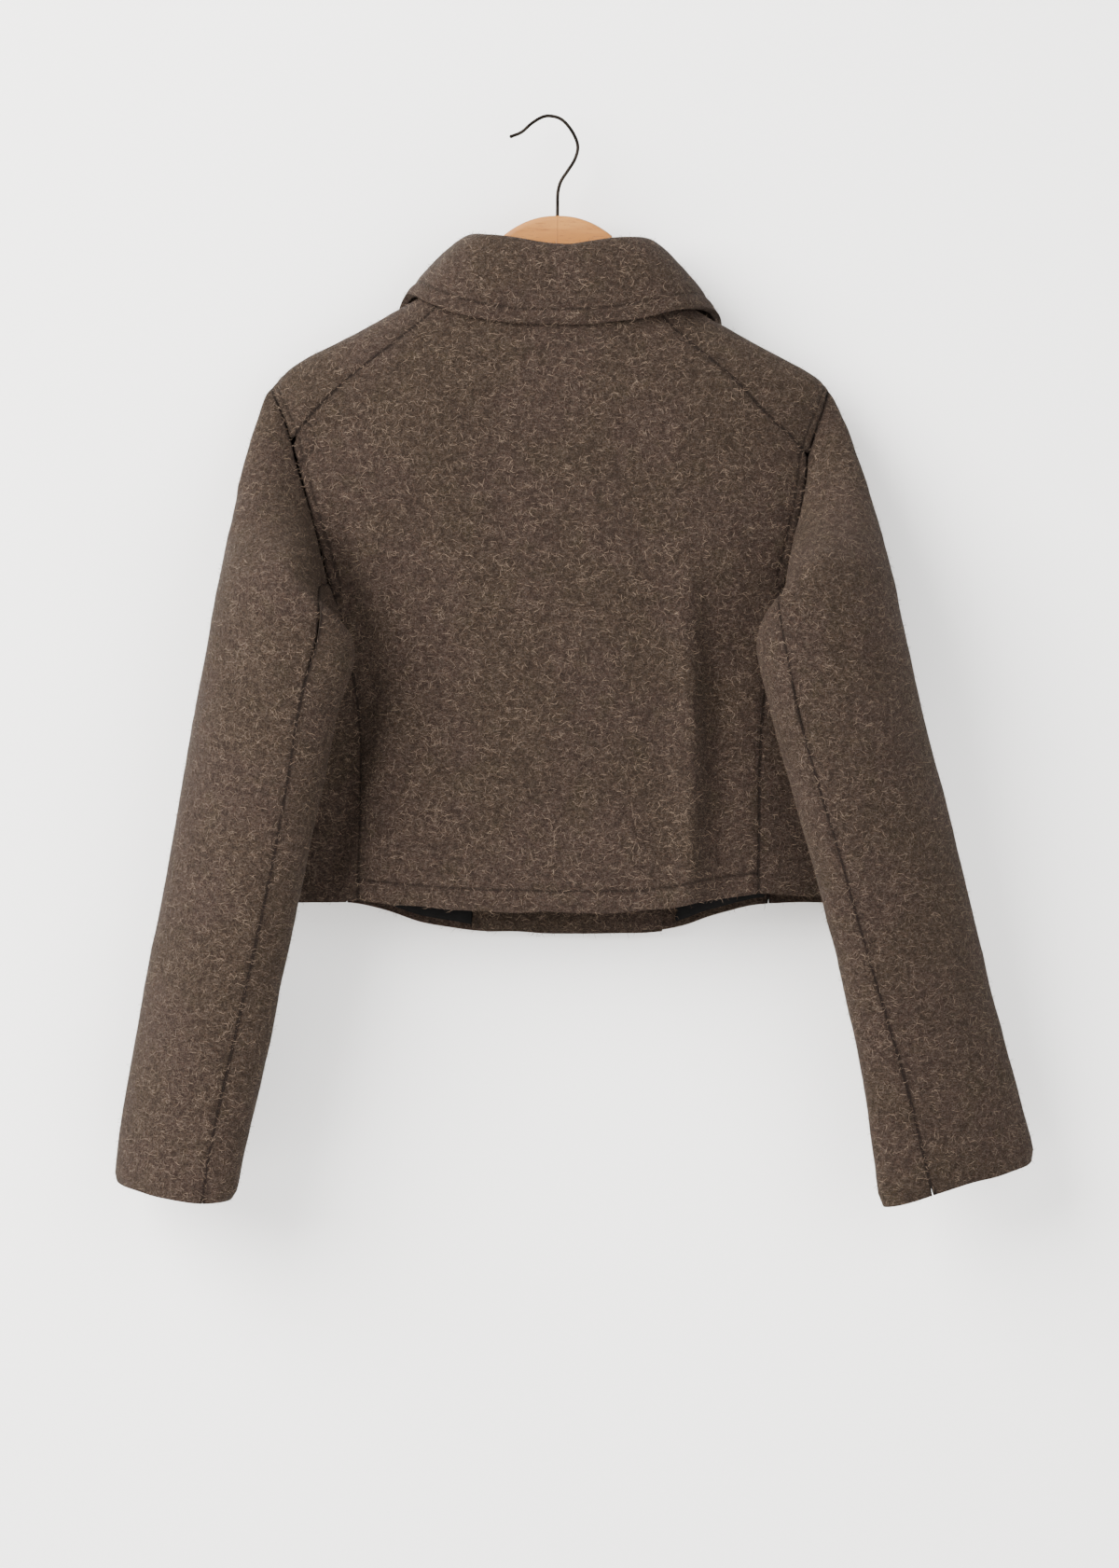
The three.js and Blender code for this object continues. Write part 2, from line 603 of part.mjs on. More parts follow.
// The collar: a stand that rises from the neck seam, the roll, and the fall outside it.
function collarSurface(columns, standRows, fallRows) {
  const curve = (name, size) => {
    const flat = size === 2 ? [0] : [];
    const points = collarSections.map((section) => new THREE.Vector3(...section[name], ...flat));
    return new THREE.CatmullRomCurve3(points, false, 'catmullrom', 0.5);
  };
  const [seam, roll, edge] = ['seam', 'roll', 'edge'].map((name) => curve(name, 3));
  const out = curve('out', 2);
  const widths = collarSections.map((section) => section.width);
  const width = smoothRows(widths.map((_, i) => i / (widths.length - 1)), widths);
  const columnPoints = (s) => {
    const low = seam.getPoint(s);
    const top = roll.getPoint(s);
    const end = edge.getPoint(s);
    const direction = out.getPoint(s);
    const away = new THREE.Vector3(direction.x, direction.y, 0).normalize().multiplyScalar(width(s));
    const rise = new THREE.Vector3(0, 0, 0.6 * (top.z - low.z));
    const stand = new THREE.CubicBezierCurve3(low, low.clone().add(rise), top.clone().sub(away), top);
    const swell = top.clone().lerp(end, 0.45).add(away);
    const fall = new THREE.CubicBezierCurve3(top, top.clone().add(away), swell, end);
    const standPoints = Array.from({ length: standRows }, (_, j) => stand.getPoint(j / standRows));
    return [...standPoints, ...Array.from({ length: fallRows + 1 }, (_, j) => fall.getPoint(j / fallRows))];
  };
  const byColumn = Array.from({ length: columns + 1 }, (_, i) => columnPoints(1 - i / columns));
  return byColumn[0].map((_, j) => byColumn.map((points) => points[j]));
}

function collar() {
  return wall(withNormals(collarSurface(collarColumns, collarStandRows, collarFallRows)), collarThickness);
}

// Where a place round the sleeve lies on a section, in degrees from its outer edge.
function ringAngle(k, seam, fore) {
  if (k <= ringJunction) return (seam * k) / ringJunction;
  if (k <= ringFront) return mix(seam, fore, (k - ringJunction) / (ringFront - ringJunction));
  return mix(fore, 360, (k - ringFront) / (ringCount - ringFront));
}

function sleeveRing({ inner, outer, plane, half, drop, seam }, index, rows) {
  const fore = mix(foreAngle.top, foreAngle.cuff, ease(index / (rows.length - 1)));
  return Array.from({ length: ringCount }, (_, k) => {
    const angle = THREE.MathUtils.degToRad(ringAngle(k, seam, fore));
    const across = (1 - Math.cos(angle)) / 2;
    return new THREE.Vector3(
      mix(outer[0], inner[0], across),
      plane + sleeveShear * Math.cos(angle) - half * Math.sin(angle),
      mix(outer[1], inner[1], across) - drop * Math.sin(angle),
    );
  });
}

// The sleeve head: from each place on the armhole to the first section, leaving as its table says.
function sleeveHead(side, first, second) {
  const outward = side === 'left' ? -1 : 1;
  const at = sleeveDepartures.map(({ ring }) => ring);
  const [x, y, z] = ['x', 'y', 'z'].map((name) => smoothRows(at, sleeveDepartures.map((row) => row[name])));
  return Array.from({ length: headRings }, (_, j) => armholeRing[side].map(([turn, height], k) => {
    const t = j / headRings;
    const from = bodyPoint(turn, height);
    const leave = new THREE.Vector3(outward * x(k), y(k), z(k));
    const reach = Math.max(sleeveArrival.least, from.distanceTo(first[k]));
    const arrive = second[k].clone().sub(first[k]).setLength(Math.min(sleeveArrival.most, reach));
    return from.multiplyScalar((1 + 2 * t) * (1 - t) ** 2)
      .addScaledVector(leave, t * (1 - t) ** 2)
      .addScaledVector(first[k], t * t * (3 - 2 * t))
      .addScaledVector(arrive, t * t * (t - 1));
  }));
}

// Moves a point out of the body's surface, level with itself, until it is the clearance away.
function clearOfBody(point, clearance) {
  const [middle, half] = bodySpan(point.z);
  const side = bodyAt.side(point.z);
  const power = bodyAt.power(point.z);
  const measure = (x, y) => {
    const depth = y > side ? bodyAt.front(point.z) - side : side - bodyAt.back(point.z);
    return (Math.abs((x - middle) / half) ** power + Math.abs((y - side) / depth) ** power) ** (1 / power);
  };
  const step = 0.1;
  const slopeX = (measure(point.x + step, point.y) - measure(point.x - step, point.y)) / (2 * step);
  const slopeY = (measure(point.x, point.y + step) - measure(point.x, point.y - step)) / (2 * step);
  const slope = Math.hypot(slopeX, slopeY);
  const missing = clearance - (measure(point.x, point.y) - 1) / slope;
  if (missing <= 0) return point;
  return new THREE.Vector3(point.x + (missing * slopeX) / slope, point.y + (missing * slopeY) / slope, point.z);
}

// Lets the underarm's cloth settle between its seam and the first section.
function settled(rows) {
  const slackAt = smoothRows(underarmSlack.map(({ ring }) => ring), underarmSlack.map(({ share }) => share));
  let grid = rows;
  for (let pass = 0; pass < settlePasses; pass += 1) {
    const before = grid;
    grid = before.map((row, j) => row.map((point, k) => {
      if (j === 0 || j === rows.length - 1) return point;
      const beside = [row[(k + 1) % ringCount], row[(k + ringCount - 1) % ringCount]];
      const around = [...beside, before[j - 1][k], before[j + 1][k]];
      const total = around.reduce((sum, near) => sum.add(near), new THREE.Vector3());
      const middle = total.divideScalar(around.length);
      const slack = slackAt(k);
      if (slack === 0) return point;
      return clearOfBody(point.clone().lerp(middle, slack), sleeveClearance);
    }));
  }
  return grid;
}

// The sleeve's grid. Its first row is mitred with the body's cloth, as the seam is.
function sleeveGrid(side) {
  const rings = sleeves[side].map(sleeveRing);
  const points = [...settled([...sleeveHead(side, rings[0], rings[1]), rings[0]]), ...rings.slice(1)];
  const grid = withNormals(side === 'left' ? mirrored(points) : points, true);
  const seamNormals = armholeRing[side].map(([turn, z]) => bodyNormal(turn, z));
  if (side === 'left') seamNormals.reverse();
  const mitre = ({ point, normal }, k) => ({ point, normal: normal.add(seamNormals[k]).normalize() });
  const mitred = grid[0].map(mitre);
  return [mitred, ...grid.slice(1)];
}

function sleevePiece(side, from, to) {
  const columns = Array.from({ length: to - from + 1 }, (_, i) => (from + i) % ringCount);
  const picked = side === 'left' ? columns.map((k) => ringCount - 1 - k).reverse() : columns;
  const grid = sleeveGrid(side).map((row) => picked.map((i) => row[i]));
  return wall(inset(grid, ['bottom', 'start', 'end'], sleeveSeamGap), woolThickness);
}

function toSolid(geometry) {
  const bare = geometry.clone();
  bare.deleteAttribute('normal');
  bare.deleteAttribute('uv');
  const merged = mergeVertices(bare, 1e-4);
  return new wasm.Manifold(new wasm.Mesh({
    numProp: 3,
    vertProperties: new Float32Array(merged.attributes.position.array),
    triVerts: new Uint32Array(merged.index.array),
  }));
}

function toGeometry(solid) {
  const made = solid.getMesh();
  const geometry = new THREE.BufferGeometry();
  geometry.setAttribute('position', new THREE.Float32BufferAttribute(made.vertProperties, 3));
  geometry.setIndex(Array.from(made.triVerts));
  return geometry;
}

function hangerOutline() {
  const { middle, crown, dome, domeSide, domePower, domeSteps, necks } = hanger;
  const { armDepth, endDepth, reach, clothDrop } = hanger;
  const arm = (side) => hanger.shoulderHeights.map((z) => [bodyAt[side](z), z - clothDrop]);
  const armEnd = (side) => {
    const x = middle + (side === 'left' ? -reach : reach);
    const near = bodyRings.find((ring) => Math.abs(ring[side]) < Math.abs(x));
    const far = bodyRings[bodyRings.indexOf(near) - 1];
    return [x, mix(near.z, far.z, (x - near[side]) / (far[side] - near[side])) - clothDrop];
  };
  const lower = (points, depth) => points.map(([x, z]) => [x, z - depth]);
  const leftTop = [...arm('left'), armEnd('left')];
  const rightTop = [...arm('right'), armEnd('right')];
  const domeArc = Array.from({ length: domeSteps + 1 }, (_, i) => {
    const u = (2 * i) / domeSteps - 1;
    return [middle + dome * u, crown - (crown - domeSide) * Math.abs(u) ** domePower];
  });
  return [
    ...[...leftTop].reverse(),
    necks.left,
    ...domeArc,
    necks.right,
    ...rightTop,
    ...lower([rightTop.at(-1)], endDepth),
    ...lower([...rightTop.slice(0, -1)].reverse(), armDepth),
    [middle, necks.under],
    ...lower(leftTop.slice(0, -1), armDepth),
    ...lower([leftTop.at(-1)], endDepth),
  ];
}

function hangerWood() {
  const { middle, crown, bevel } = hanger;
  const shape = new THREE.Shape(hangerOutline().map(([x, z]) => new THREE.Vector2(x, z)));
  const body = new THREE.ExtrudeGeometry(shape, {
    depth: hangerThickness - 2 * bevel,
    bevelEnabled: true,
    bevelThickness: bevel,
    bevelSize: bevel,
    bevelOffset: -bevel,
    bevelSegments: bevelSteps,
  });
  body.translate(0, 0, bevel - hangerThickness / 2);
  body.rotateX(Math.PI / 2);
  const boreRadius = wireRadius + boreClearance;
  const bore = new THREE.CylinderGeometry(boreRadius, boreRadius, 2 * boreDepth, 2 * hookSides);
  bore.rotateX(Math.PI / 2);
  bore.translate(middle, 0, crown + bevel);
  return toGeometry(toSolid(body).subtract(toSolid(bore)));
}

function hangerHook() {
  const section = new THREE.Shape();
  section.absarc(0, 0, wireRadius, 0, 2 * Math.PI, false);
  const marks = hookLine.map(([x, z]) => new THREE.Vector3(x, 0, z));
  const path = new THREE.CatmullRomCurve3(marks, false, 'centripetal');
  const wire = new THREE.ExtrudeGeometry(section, {
    steps: hookSections, curveSegments: hookSides, extrudePath: path, bevelEnabled: false,
  });
  const [tipX, tipZ] = hookLine[0];
  const tip = new THREE.SphereGeometry(wireRadius * tipSwell, hookSides, hookSides);
  tip.translate(tipX, 0, tipZ);
  return toGeometry(toSolid(wire).add(toSolid(tip)));
}

function button(x, z) {
  const rim = buttonRadius;
  const floor = buttonThickness - buttonDish;
  const profile = [[0, 0], [rim - buttonEdge, 0], [rim, buttonEdge], [rim, buttonThickness - buttonEdge],
    [rim - buttonEdge, buttonThickness], [rim - 3 * buttonEdge, floor], [0, floor]];
  const geometry = new THREE.LatheGeometry(profile.map(([r, y]) => new THREE.Vector2(r, y)), 18);
  const [turn, height] = onFront([x, z]);
  const normal = bodyNormal(turn, height);
  const seat = bodyPoint(turn, height).addScaledVector(normal, layerGap);
  geometry.applyQuaternion(new THREE.Quaternion().setFromUnitVectors(new THREE.Vector3(0, 1, 0), normal));
  geometry.translate(seat.x, seat.y, seat.z);
  return toGeometry(toSolid(geometry));
}

const group = new THREE.Group();

function add(name, geometry, material) {
  const mesh = new THREE.Mesh(geometry, material);
  mesh.name = name;
  group.add(mesh);
}

add('hanger_hook', hangerHook(), steel);
add('hanger_wood', hangerWood(), beech);
add('back', backPanel(), wool);
add('collar', collar(), wool);
for (const side of ['left', 'right']) {
  add(`side_${side}`, sidePanel(side), wool);
  add(`front_${side}`, frontPanel(side), wool);
  add(`lapel_${side}`, lapel(side), wool);
  add(`facing_${side}`, facing(side), wool);
  add(`lining_${side}`, lining(side), black);
  add(`sleeve_top_${side}`, sleevePiece(side, ringFront, ringCount + ringJunction), wool);
  add(`sleeve_under_${side}`, sleevePiece(side, ringJunction, ringFront), wool);
}
let number = 1;
for (const z of buttonRows) {
  for (const offset of [-buttonSpacing, buttonSpacing]) {
    add(`button_${number}`, button(buttonMiddle + offset, z), horn);
    number += 1;
  }
}

export default group;
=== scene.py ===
import itertools
import math

import bmesh
import bpy
import numpy as np
from mathutils import Matrix, Vector, kdtree


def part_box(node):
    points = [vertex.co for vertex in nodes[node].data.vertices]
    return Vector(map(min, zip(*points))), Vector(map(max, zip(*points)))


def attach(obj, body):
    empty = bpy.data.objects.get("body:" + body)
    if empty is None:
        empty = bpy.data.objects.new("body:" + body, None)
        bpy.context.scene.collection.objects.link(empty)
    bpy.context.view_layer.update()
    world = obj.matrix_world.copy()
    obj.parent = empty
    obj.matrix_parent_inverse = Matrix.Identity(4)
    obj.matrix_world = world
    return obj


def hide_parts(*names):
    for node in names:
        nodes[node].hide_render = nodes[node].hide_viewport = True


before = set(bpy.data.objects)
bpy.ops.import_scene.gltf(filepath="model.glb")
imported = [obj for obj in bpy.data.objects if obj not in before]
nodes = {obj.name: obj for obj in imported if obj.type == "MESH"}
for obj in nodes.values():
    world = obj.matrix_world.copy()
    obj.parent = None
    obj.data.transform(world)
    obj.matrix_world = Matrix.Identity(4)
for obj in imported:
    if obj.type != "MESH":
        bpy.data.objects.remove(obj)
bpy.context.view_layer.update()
mm = 0.001
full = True


view = {
    "pixel": 0.7 * mm,            # what one pixel of the frame covers at the coat's back
    "imageSize": (1200, 1681),
    "originPixel": (587, 123),    # where the hook's crown stands in the frame
    "distance": 7.0,
    "coatDepth": -0.03,
}
room = {
    "wallDepth": 0.034,
    "floorHeight": -1.35,
    "reach": 12.0,
    "wallColour": (0.965, 0.96, 0.952),
    "floorColour": (0.80, 0.79, 0.775),
    "worldColour": (1.0, 0.985, 0.965),
    "worldStrength": 1.22,
}
lamps = {
    "key": {"place": (-2.55, -2.45, 1.15), "size": 3.4, "power": 540, "colour": (1.0, 0.985, 0.965)},
    "fill": {"place": (1.7, -2.8, 0.1), "size": 2.6, "power": 72, "colour": (0.97, 0.98, 1.0)},
    "behind": {"place": (-0.7, 2.6, 0.6), "size": 2.0, "power": 90, "colour": (1.0, 0.99, 0.97)},
}
aim = Vector((0.0, 0.0, -0.42))


def placeCamera():
    camera = bpy.data.objects.new("camera", bpy.data.cameras.new("camera"))
    bpy.context.scene.collection.objects.link(camera)
    width, height = view["imageSize"]
    camera.location = (
        (width / 2 - view["originPixel"][0]) * view["pixel"],
        view["coatDepth"] - view["distance"],
        (view["originPixel"][1] - height / 2) * view["pixel"],
    )
    camera.rotation_euler = (math.radians(90), 0, 0)
    camera.data.sensor_width = 36
    camera.data.lens = 36 * view["distance"] / (height * view["pixel"])
    bpy.context.scene.camera = camera


def placeLamp(name, place, size, power, colour):
    light = bpy.data.lights.new(name, "AREA")
    light.shape = "DISK"
    light.size = size
    light.energy = power
    light.color = colour
    lamp = bpy.data.objects.new(name, light)
    bpy.context.scene.collection.objects.link(lamp)
    lamp.location = place
    lamp.rotation_euler = (aim - Vector(place)).to_track_quat("-Z", "Y").to_euler()


placeCamera()
for lampName, lampSizes in lamps.items():
    placeLamp(lampName, **lampSizes)
world = bpy.data.worlds.new("room light")
bpy.context.scene.world = world
world.use_nodes = True
background = world.node_tree.nodes["Background"]
background.inputs["Color"].default_value = (*room["worldColour"], 1)
background.inputs["Strength"].default_value = room["worldStrength"]
print("camera and lights set")


class Field:
    # a shader socket that adds, multiplies and compares like a number
    def __init__(self, finish, socket):
        self.finish = finish
        self.socket = socket

    def combine(self, operation, *others, clamp=False):
        values = dict(enumerate((self, *others)))
        return self.finish.node("Math", {"operation": operation, "use_clamp": clamp}, values)

    def __add__(self, other):
        return self.combine("ADD", other)

    def __sub__(self, other):
        return self.combine("SUBTRACT", other)

    def __mul__(self, other):
        return self.combine("MULTIPLY", other)

    def __truediv__(self, other):
        return self.combine("DIVIDE", other)

    def __neg__(self):
        return self.combine("MULTIPLY", -1.0)

    def __radd__(self, other):
        return self + other

    def __rmul__(self, other):
        return self * other

    def __rsub__(self, other):
        return -self + other

    def size(self):
        return self.combine("ABSOLUTE")

    def step(self, low, high, atLow=0.0, atHigh=1.0):
        # a soft step from one value to another
        names = ("Value", "From Min", "From Max", "To Min", "To Max")
        values = dict(zip(names, (self, low, high, atLow, atHigh)))
        return self.finish.node("MapRange", {"interpolation_type": "SMOOTHSTEP"}, values)


class Finish:
    # a node material under construction
    def __init__(self, name, **constants):
        self.material = bpy.data.materials.new(name)
        self.material.use_nodes = True
        self.tree = self.material.node_tree
        self.shader = self.tree.nodes["Principled BSDF"]
        for key, value in constants.items():
            self.shader.inputs[key.replace("_", " ")].default_value = value

    def node(self, kind, settings=None, inputs=None, output=0):
        made = self.tree.nodes.new("ShaderNode" + kind)
        for key, value in (settings or {}).items():
            setattr(made, key, value)
        for key, value in (inputs or {}).items():
            if isinstance(value, Field):
                self.tree.links.new(value.socket, made.inputs[key])
            else:
                made.inputs[key].default_value = value
        return Field(self, made.outputs[output])

    def place(self, turn=(0, 0, 0), scale=(1, 1, 1), shift=(0, 0, 0)):
        here = self.node("TexCoord", output="Object")
        values = {"Vector": here, "Location": shift, "Rotation": turn, "Scale": scale}
        return self.node("Mapping", {}, values)

    def noise(self, where, scale, detail=2.0, rough=0.5):
        values = {"Vector": where, "Scale": scale, "Detail": detail, "Roughness": rough}
        return self.node("TexNoise", {}, values)

    def reading(self, name):
        return self.node("Attribute", {"attribute_name": name}, output="Fac")

    def blend(self, share, first, second, way="MIX"):
        settings = {"data_type": "RGBA", "blend_type": way}
        return self.node("Mix", settings, {0: share, 6: first, 7: second}, output=2)

    def bump(self, height, distance, strength=1.0):
        values = {"Height": height, "Distance": distance, "Strength": strength}
        return self.node("Bump", {}, values)

    def wire(self, **fields):
        for key, field in fields.items():
            self.tree.links.new(field.socket, self.shader.inputs[key.replace("_", " ")])
        return self.material


def colour(red, green, blue):
    # linear light from the 0 to 255 values of a colour picker
    parts = [value / 255 for value in (red, green, blue)]
    return (*[part / 12.92 if part < 0.04 else ((part + 0.055) / 1.055) ** 2.4 for part in parts], 1)


wool = {
    "base": colour(86, 68, 53),
    "mauve": colour(90, 69, 60),
    "olive": colour(82, 70, 46),
    "light": colour(150, 132, 117),
    # dark is also the colour that the painted shade of seams, stitch grooves and fibre gaps blends towards
    "dark": colour(38, 27, 21),
    # light fibres and the gaps between them, the gaps painted darker as painted shade: waves across, waves
    # up, slant in degrees
    "curls": ((260, 440, 6), (390, 620, 30), (420, 590, -28)),
    "shadows": ((210, 430, 8), (380, 540, -38)),
}


def woolFinish(name, grain=0.0, seed=0.0, shade=0.268):
    # brushed, heathered wool; curly fibres are thin bands round a noise's middle value
    finish = Finish(
        name, Sheen_Weight=0.1, Sheen_Roughness=0.5, Sheen_Tint=wool["light"], Specular_IOR_Level=0.1)
    even = finish.place(shift=(seed, seed * 0.7, -seed))

    def fibres(table, width):
        total = 0
        for index, (across, up, slant) in enumerate(table):
            turn = (0, math.radians(grain + slant), 0)
            where = finish.place(turn, (across, across, up), (seed + 3.1 * index, seed, -seed))
            band = (finish.noise(where, 1.0, 1.0, 0.55) - 0.5).size()
            total = band.step(0.0, width, 1.0, 0.0) + total
        return total

    cloud = finish.noise(even, 17.0, 2.0)
    patch = finish.noise(even, 60.0, 2.0, 0.6)
    clump = finish.noise(even, 260.0, 2.0, 0.6)
    grit = finish.noise(even, 1250.0, 1.0, 0.6)
    lightHair = fibres(wool["curls"], 0.055)
    shadedFibreGaps = fibres(wool["shadows"], 0.06)

    ground = finish.blend(cloud.step(0.4, 0.62), wool["mauve"], wool["base"])
    ground = finish.blend(patch.step(0.52, 0.72, 0.0, 0.5), ground, wool["olive"])
    ground = finish.blend(clump.step(0.36, 0.62, 0.42, 0.0), ground, wool["dark"])
    # painted shade: the gaps between the fibres are painted darker, then come the light fibres and the dark
    # grit
    flecksAndGapShade = finish.blend(shadedFibreGaps.combine("MULTIPLY", 0.42, clamp=True), ground, wool["dark"])
    shine = lightHair * clump.step(0.3, 0.66, 0.15, 0.42)
    flecksAndGapShade = finish.blend(shine.combine("MULTIPLY", 1.0, clamp=True), flecksAndGapShade, wool["light"])
    flecksAndGapShade = finish.blend(grit.step(0.34, 0.62, 0.34, 0.0), flecksAndGapShade, wool["dark"])

    # painted shade: the stitch grooves and the seams, with a wider soft band beside each seam roll, are
    # painted darker
    hollow = 1 - finish.reading("stitch").size().step(0.0002, 0.0019)
    sewn = finish.reading("seam")
    seam = sewn.step(0.0005, 0.0021, 0.7, 0.0) + sewn.step(0.001, 0.007, 0.2, 0.0)
    seamShadedColour = finish.blend((hollow * 0.62 + seam).combine("MULTIPLY", 1.0, clamp=True), flecksAndGapShade, wool["dark"])
    seamShadedColour = finish.blend(1.0, seamShadedColour, (shade, shade, shade, 1), "MULTIPLY")
    height = lightHair * 0.5 - shadedFibreGaps * 0.5 + grit * 0.4 + clump * 2.2 - hollow * 1.2
    return finish.wire(
        Base_Color=seamShadedColour,
        Roughness=grit.step(0.2, 0.8, 0.8, 0.95),
        Normal=finish.bump(height, 0.8 * mm, 0.8),
    )


def liningFinish():
    finish = Finish("black lining satin", Specular_IOR_Level=0.07)
    twill = finish.noise(finish.place((0, 0.8, 0), (500, 500, 3200)), 1.0, 2.0)
    crush = finish.noise(finish.place(), 45.0, 3.0, 0.6)
    tone = finish.blend(twill.step(0.3, 0.7), colour(5, 5, 5), colour(10, 9, 9))
    return finish.wire(
        Base_Color=tone,
        Roughness=crush.step(0.3, 0.7, 0.5, 0.68),
        Normal=finish.bump(twill * 0.2 + crush * 1.5, 0.5 * mm, 0.6),
    )


def beechFinish():
    finish = Finish("oiled beech", Specular_IOR_Level=0.35)
    grain = finish.noise(finish.place(scale=(11, 60, 110)), 1.0, 4.0, 0.6)
    pore = finish.noise(finish.place(scale=(160, 900, 1700)), 1.0, 2.0, 0.6)
    cloud = finish.noise(finish.place(), 22.0, 2.0)
    tone = finish.blend(grain.step(0.35, 0.65), colour(146, 93, 36), colour(160, 107, 46))
    tone = finish.blend(cloud.step(0.45, 0.7, 0.0, 0.4), tone, colour(134, 80, 30))
    tone = finish.blend(pore.step(0.6, 0.72, 0.0, 0.75), tone, colour(104, 62, 32))
    across = finish.node("SeparateXYZ", {}, {"Vector": finish.place()})
    # the two halves are glued together in the middle
    joint = (across - 7.6 * mm).size().step(0.15 * mm, 0.55 * mm, 0.55, 0.0)
    tone = finish.blend(joint, tone, colour(104, 62, 32))
    return finish.wire(
        Base_Color=tone,
        Roughness=grain.step(0.3, 0.7, 0.42, 0.56),
        Normal=finish.bump(grain * 0.4 - pore.step(0.6, 0.72), 0.15 * mm, 0.5),
    )


def wireFinish():
    finish = Finish("dark steel wire", Metallic=1.0)
    tarnish = finish.noise(finish.place(), 130.0, 3.0, 0.6)
    scratch = finish.noise(finish.place(scale=(700, 700, 60)), 1.0, 2.0)
    tone = finish.blend(tarnish.step(0.35, 0.7), colour(20, 17, 15), colour(42, 37, 33))
    return finish.wire(
        Base_Color=tone,
        Roughness=tarnish.step(0.3, 0.7, 0.36, 0.52),
        Normal=finish.bump(scratch, 0.05 * mm, 0.4),
    )


def hornFinish():
    finish = Finish("dark horn", Coat_Weight=0.15, Specular_IOR_Level=0.5)
    flow = finish.noise(finish.place((0.3, 0, 0.5), (60, 60, 190)), 1.0, 4.0, 0.6)
    speck = finish.noise(finish.place(), 900.0, 2.0)
    tone = finish.blend(flow.step(0.4, 0.66), colour(32, 24, 20), colour(82, 62, 45))
    return finish.wire(
        Base_Color=tone,
        Roughness=flow.step(0.3, 0.7, 0.24, 0.36),
        Normal=finish.bump(speck, 0.04 * mm, 0.4),
    )


def threadFinish():
    finish = Finish("dark waxed thread", Roughness=0.6)
    twist = finish.noise(finish.place((0.5, 0, 0.5), (700, 2600, 700)), 1.0, 1.0)
    tone = finish.blend(twist.step(0.35, 0.65), colour(34, 26, 22), colour(66, 52, 44))
    return finish.wire(Base_Color=tone, Normal=finish.bump(twist, 0.15 * mm, 0.6))


def flatFinish(name, tone):
    finish = Finish(name, Roughness=0.8, Specular_IOR_Level=0.15)
    finish.shader.inputs["Base Color"].default_value = colour(*tone)
    return finish.material


def paintFinish(name, paint, seeThrough):
    # matt paint; a wall painted on one side only can be looked through from behind
    finish = Finish(name, Specular_IOR_Level=0.1)
    mottle = finish.noise(finish.place(), 3.0, 3.0, 0.6)
    roller = finish.noise(finish.place(), 420.0, 2.0)
    pale = finish.blend(mottle.step(0.3, 0.7, 0.0, 0.05), (*paint, 1), (0.70, 0.69, 0.67, 1))
    finish.wire(Base_Color=pale, Normal=finish.bump(roller, 0.1 * mm, 0.25))
    finish.shader.inputs["Roughness"].default_value = 0.85
    if seeThrough:
        clear = finish.node("BsdfTransparent")
        behind = finish.node("NewGeometry", output="Backfacing")
        painted = Field(finish, finish.shader.outputs[0])
        mixed = finish.node("MixShader", {}, {0: behind, 1: painted, 2: clear})
        output = finish.tree.nodes["Material Output"]
        finish.tree.links.new(mixed.socket, output.inputs["Surface"])
    return finish.material


bodyWool = woolFinish("brown wool", 3, 0.0)
leftWool = woolFinish("brown wool, left sleeve", 13, 0.31)
rightWool = woolFinish("brown wool, right sleeve", -13, 0.57)
collarWool = woolFinish("brown wool, collar", -3, 0.83)
innerWool = woolFinish("brown wool, facings", 4, 1.21)
liningSatin = liningFinish()
beech = beechFinish()
steel = wireFinish()
horn = hornFinish()
threadCotton = threadFinish()
hairColours = {"pale": (106, 91, 78), "brown": (70, 56, 46), "dark": (36, 28, 23)}
hairTones = [flatFinish("wool fibre, " + name, tone) for name, tone in hairColours.items()]
print("finishes mixed")


fabric = {
    "levels": 3 if full else 2,
    "rimSteps": 3,
    "wave": (80 * mm, 1.5 * mm),       # soft hang of the whole coat: length, height
    "ripple": (30 * mm, 0.55 * mm),
    "lump": (9 * mm, 0.3 * mm),
    "pucker": (7 * mm, 0.4 * mm),
    "seamRoll": (3.0 * mm, 0.85 * mm),
    "edgeRoll": (3.5 * mm, 1.0 * mm),
    "groove": (2.6 * mm, 0.8 * mm),
    "wander": (24 * mm, 0.9 * mm),     # how far free edges stray from their line
    "seamReach": 3.6 * mm,             # borders nearer than this are sewn together
    "seamDraw": 5 * mm,                # how far in the cloth follows its drawn border
    "seamSlide": 2 * mm,               # how far a border may slip along its neighbour
    "puckerReach": 11 * mm,
    "wanderReach": 9 * mm,
    "facetTurn": math.radians(62),     # facets that turn less than this become one quad
    "rimTurn": math.radians(55),
    "nowhere": 0.5,                    # stands for the distance to a line that a piece doesn't have
}


def softNoise(points, size, seed):
    # smooth noise from -1 to 1 on a lattice of the given size
    place = points / size
    cell = np.floor(place).astype(np.int64)
    part = place - cell
    part = part * part * (3 - 2 * part)
    total = np.zeros(len(points))
    for corner in itertools.product((0, 1), repeat=3):
        key = (cell + corner) @ np.array([73856093, 19349663, 83492791]) + seed * 971
        key = (key ^ (key >> 13)) * 1274126177 & 0x7FFFFFFF
        key = (key ^ (key >> 15)) * 668265263 & 0x7FFFFFFF
        weight = np.prod(np.where(corner, part, 1 - part), axis=1)
        total += weight * ((key & 0xFFFF) / 0x8000 - 1)
    return total


